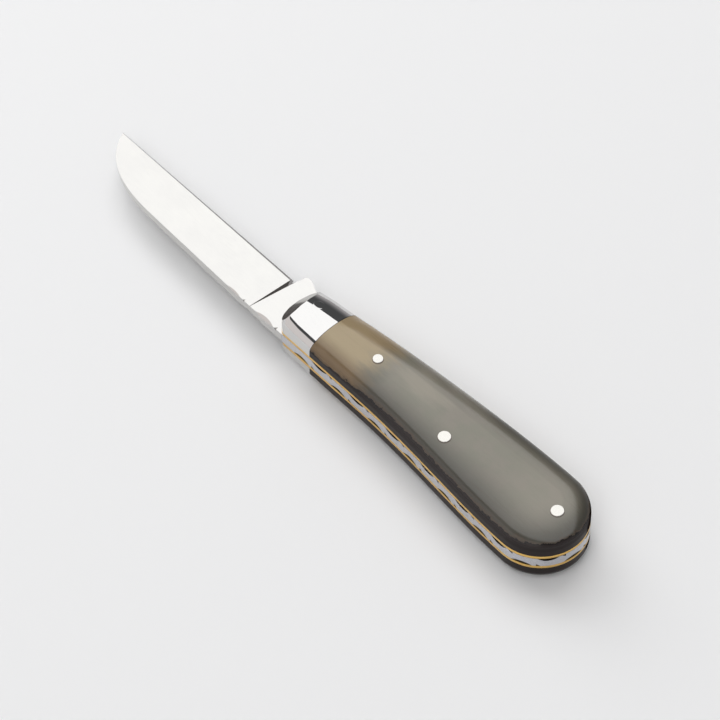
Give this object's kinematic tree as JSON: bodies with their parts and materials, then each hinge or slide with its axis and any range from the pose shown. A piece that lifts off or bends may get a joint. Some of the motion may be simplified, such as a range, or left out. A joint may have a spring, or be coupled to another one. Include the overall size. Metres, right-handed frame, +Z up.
{
  "type": "folding pocket knife",
  "caption": "Slip-joint folding pocket knife with a straight-edged blade, steel bolsters, horn scales, brass liners and a filed back spring.",
  "frame": {"origin": "foot of the pivot axis, on the surface that the knife lies on", "axes": "+X towards the tip of the open blade, +Y towards the back spring, +Z up through the knife's thickness"},
  "size_m": [0.1759, 0.0253, 0.0169],
  "materials": {
    "blade_steel": "mirror polished",
    "bolster_steel": "mirror polished",
    "spring_steel": "filed and polished",
    "liner_brass": "polished edge",
    "horn": "polished horn",
    "pin_metal": "polished"
  },
  "bodies": {
    "handle": {"back_spring": "spring_steel", "liner_upper": "liner_brass", "liner_lower": "liner_brass", "bolster_upper": "bolster_steel", "bolster_lower": "bolster_steel", "scale_upper": "horn", "scale_lower": "horn", "pivot_pin": "bolster_steel", "centre_pin": "pin_metal", "butt_pin": "pin_metal", "scale_pin_upper": "pin_metal", "scale_pin_lower": "pin_metal", "bolster_pin_upper_1": "bolster_steel", "bolster_pin_upper_2": "bolster_steel", "bolster_pin_lower_1": "bolster_steel", "bolster_pin_lower_2": "bolster_steel"},
    "blade": {"blade": "blade_steel"}
  },
  "joints": [
    {"name": "blade_fold", "type": "hinge", "parent": "handle", "child": "blade", "pos_m": [0, 0, 0.00845], "axis": [0, 0, -1], "range_deg": [0, 176], "deforming": ["back_spring"]}
  ]
}
